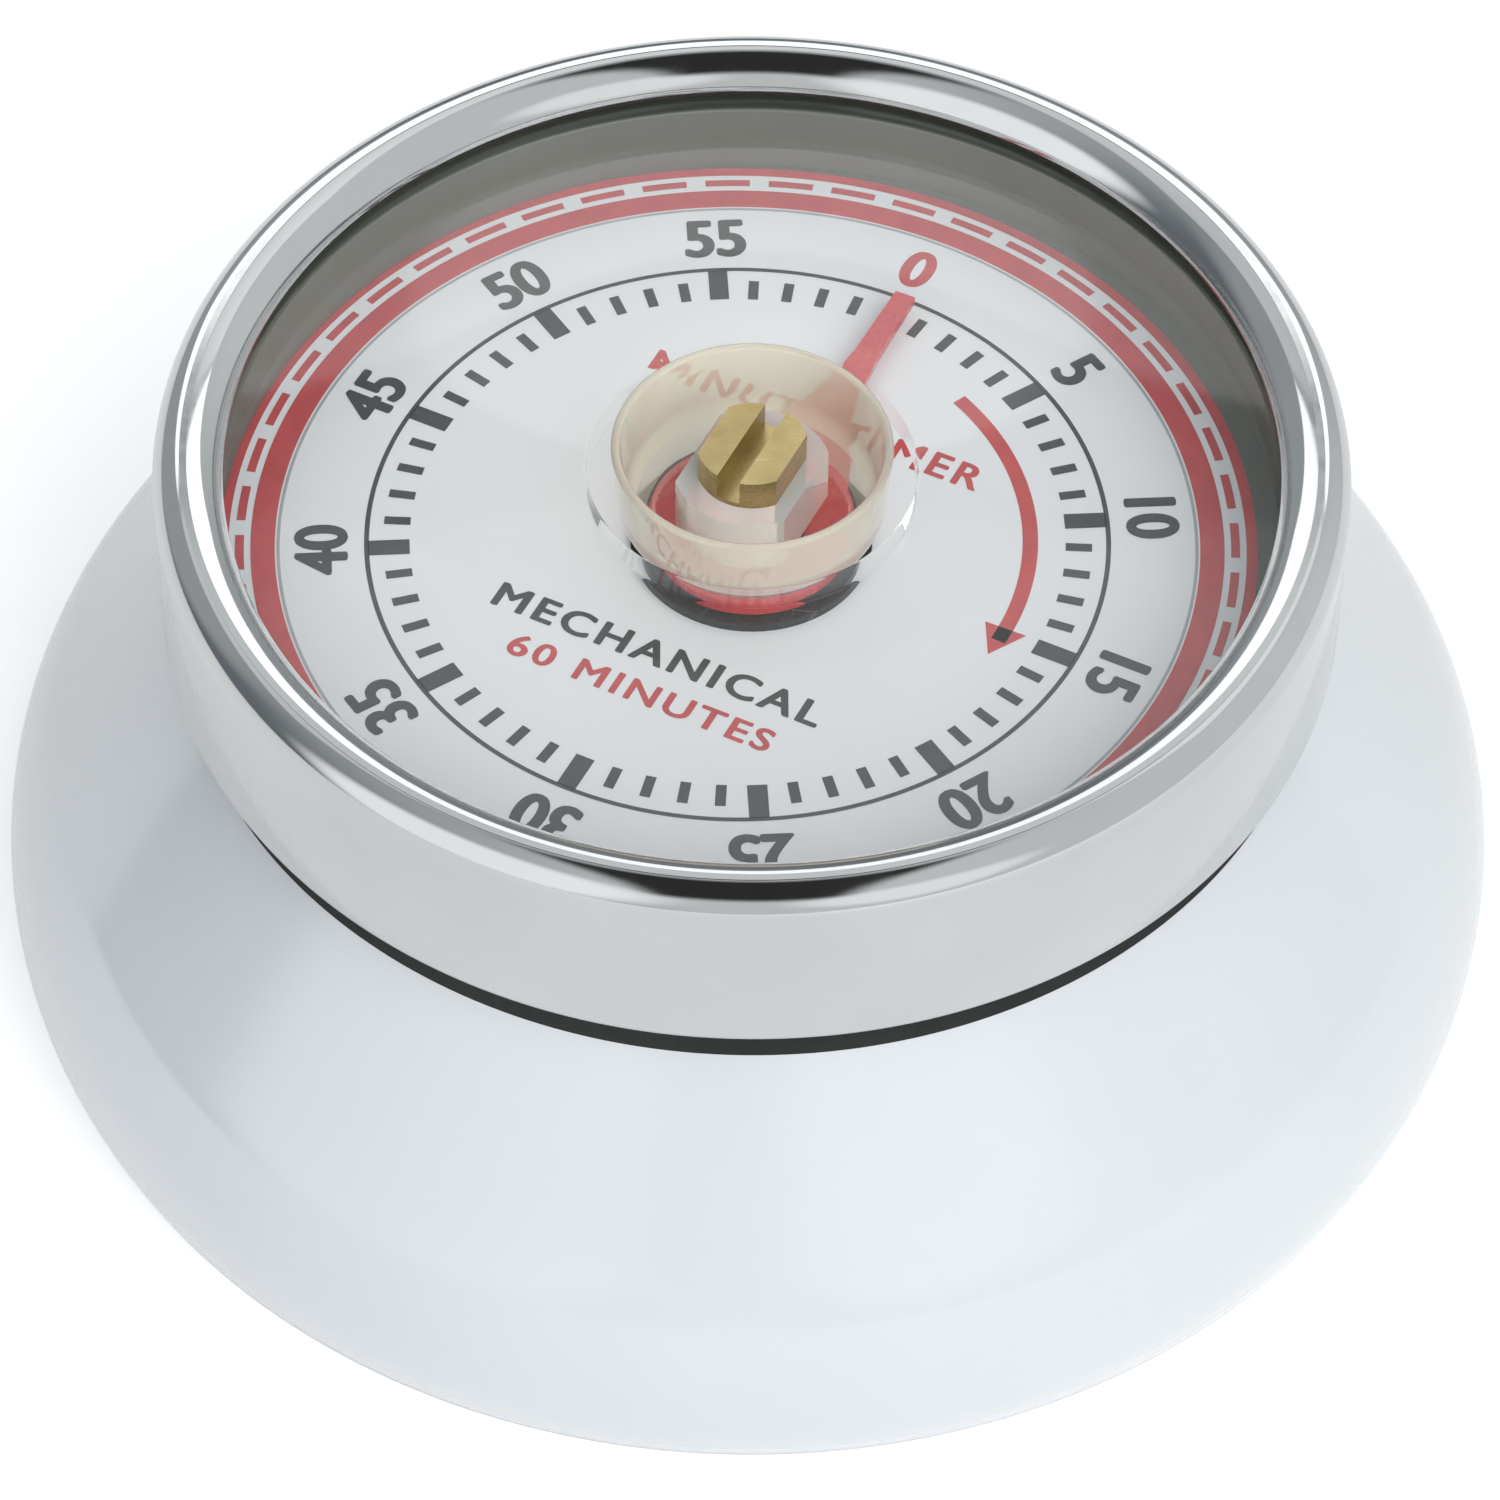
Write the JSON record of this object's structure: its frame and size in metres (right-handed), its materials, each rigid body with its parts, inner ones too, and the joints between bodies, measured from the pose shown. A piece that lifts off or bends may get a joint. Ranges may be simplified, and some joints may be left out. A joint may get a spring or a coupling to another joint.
{
  "type": "wind-up kitchen timer",
  "caption": "Round wind-up kitchen timer: flared painted case, chromed bezel, clear knob with a red pointer over a printed minute dial, magnetic back.",
  "frame": {"origin": "centre of the face that the timer rests on, at the bottom of its bounding box", "axes": "+Z out of the dial, +Y towards the dial's 0 mark"},
  "size_m": [0.07, 0.07, 0.03],
  "materials": {
    "painted_steel": "gloss",
    "chrome": "polished",
    "clear_lens": "clear",
    "clear_acrylic": "clear",
    "dark_gasket": "matt",
    "grey_wall": "satin",
    "printed_dial": "satin",
    "black_nut": "satin",
    "red_paint": "satin",
    "brass": "satin",
    "steel": "satin",
    "zinc_steel": "satin",
    "blued_spring": "polished",
    "black_magnet": "satin"
  },
  "bodies": {
    "case": {"case_shell": "painted_steel", "bezel_ring": "chrome", "lens_gasket": "dark_gasket", "lens": "clear_lens", "inner_wall_ring": "grey_wall", "dial_plate": "printed_dial", "dial_bush": "brass", "dial_nut": "black_nut", "back_cover": "zinc_steel", "magnet": "black_magnet", "cover_brackets": "zinc_steel", "cover_screws": "steel", "rear_plate": "zinc_steel", "front_plate": "zinc_steel", "pillars": "steel", "front_plate_screws": "steel", "rear_plate_screws": "steel", "spring_barrel": "zinc_steel", "barrel_lid": "zinc_steel", "mainspring": "blued_spring", "stop_lug": "steel", "bell": "chrome", "bell_post": "steel", "bell_screw": "steel"},
    "winding_arbor": {"main_arbor": "brass", "knob": "clear_acrylic", "pointer": "red_paint", "great_wheel": "brass", "ratchet_wheel": "steel", "alarm_cam": "brass", "stop_pin": "steel", "click_screw": "steel", "click_spring": "blued_spring"},
    "ratchet_click": {"click": "steel"},
    "second_wheel_set": {"second_arbor": "steel", "second_wheel": "brass"},
    "third_wheel_set": {"third_arbor": "steel", "third_wheel": "brass"},
    "escape_wheel_set": {"escape_arbor": "steel", "escape_wheel": "brass"},
    "anchor_set": {"anchor": "brass", "pallet_pins": "steel", "anchor_arbor": "steel", "balance_wheel": "brass"},
    "hammer_set": {"hammer_lever": "steel", "hammer_arbor": "steel", "hammer_head": "brass"}
  },
  "joints": [
    {"name": "knob_turn", "type": "hinge", "parent": "case", "child": "winding_arbor", "pos_m": [0, 0, 0.02], "axis": [0, 0, -1], "range_deg": [0, 354]},
    {"name": "click_lift", "type": "hinge", "parent": "winding_arbor", "child": "ratchet_click", "pos_m": [0.00498, -0.00418, 0.0138], "axis": [0, 0, -1], "range_deg": [0, 12], "stiffness_Nm_per_rad": 0.00002},
    {"name": "second_wheel_turn", "type": "hinge", "parent": "case", "child": "second_wheel_set", "pos_m": [-0.01269, -0.00462, 0.011], "axis": [0, 0, -1], "range_deg": [-2832, 0]},
    {"name": "third_wheel_turn", "type": "hinge", "parent": "case", "child": "third_wheel_set", "pos_m": [-0.00561, -0.01336, 0.011], "axis": [0, 0, -1], "range_deg": [0, 22656]},
    {"name": "escape_wheel_turn", "type": "hinge", "parent": "case", "child": "escape_wheel_set", "pos_m": [0.00304, -0.01473, 0.011], "axis": [0, 0, -1], "range_deg": [-135936, 0]},
    {"name": "anchor_swing", "type": "hinge", "parent": "case", "child": "anchor_set", "pos_m": [0.00951, -0.01237, 0.011], "axis": [0, 0, 1], "range_deg": [-6, 6]},
    {"name": "hammer_swing", "type": "hinge", "parent": "case", "child": "hammer_set", "pos_m": [0.00725, 0.01256, 0.009], "axis": [0, 0, 1], "range_deg": [-2.6, 2]}
  ],
  "couplings": [
    {"joint": "knob_turn", "follows": "second_wheel_turn", "ratio": -0.125},
    {"joint": "third_wheel_turn", "follows": "second_wheel_turn", "ratio": -8},
    {"joint": "escape_wheel_turn", "follows": "second_wheel_turn", "ratio": 48}
  ]
}
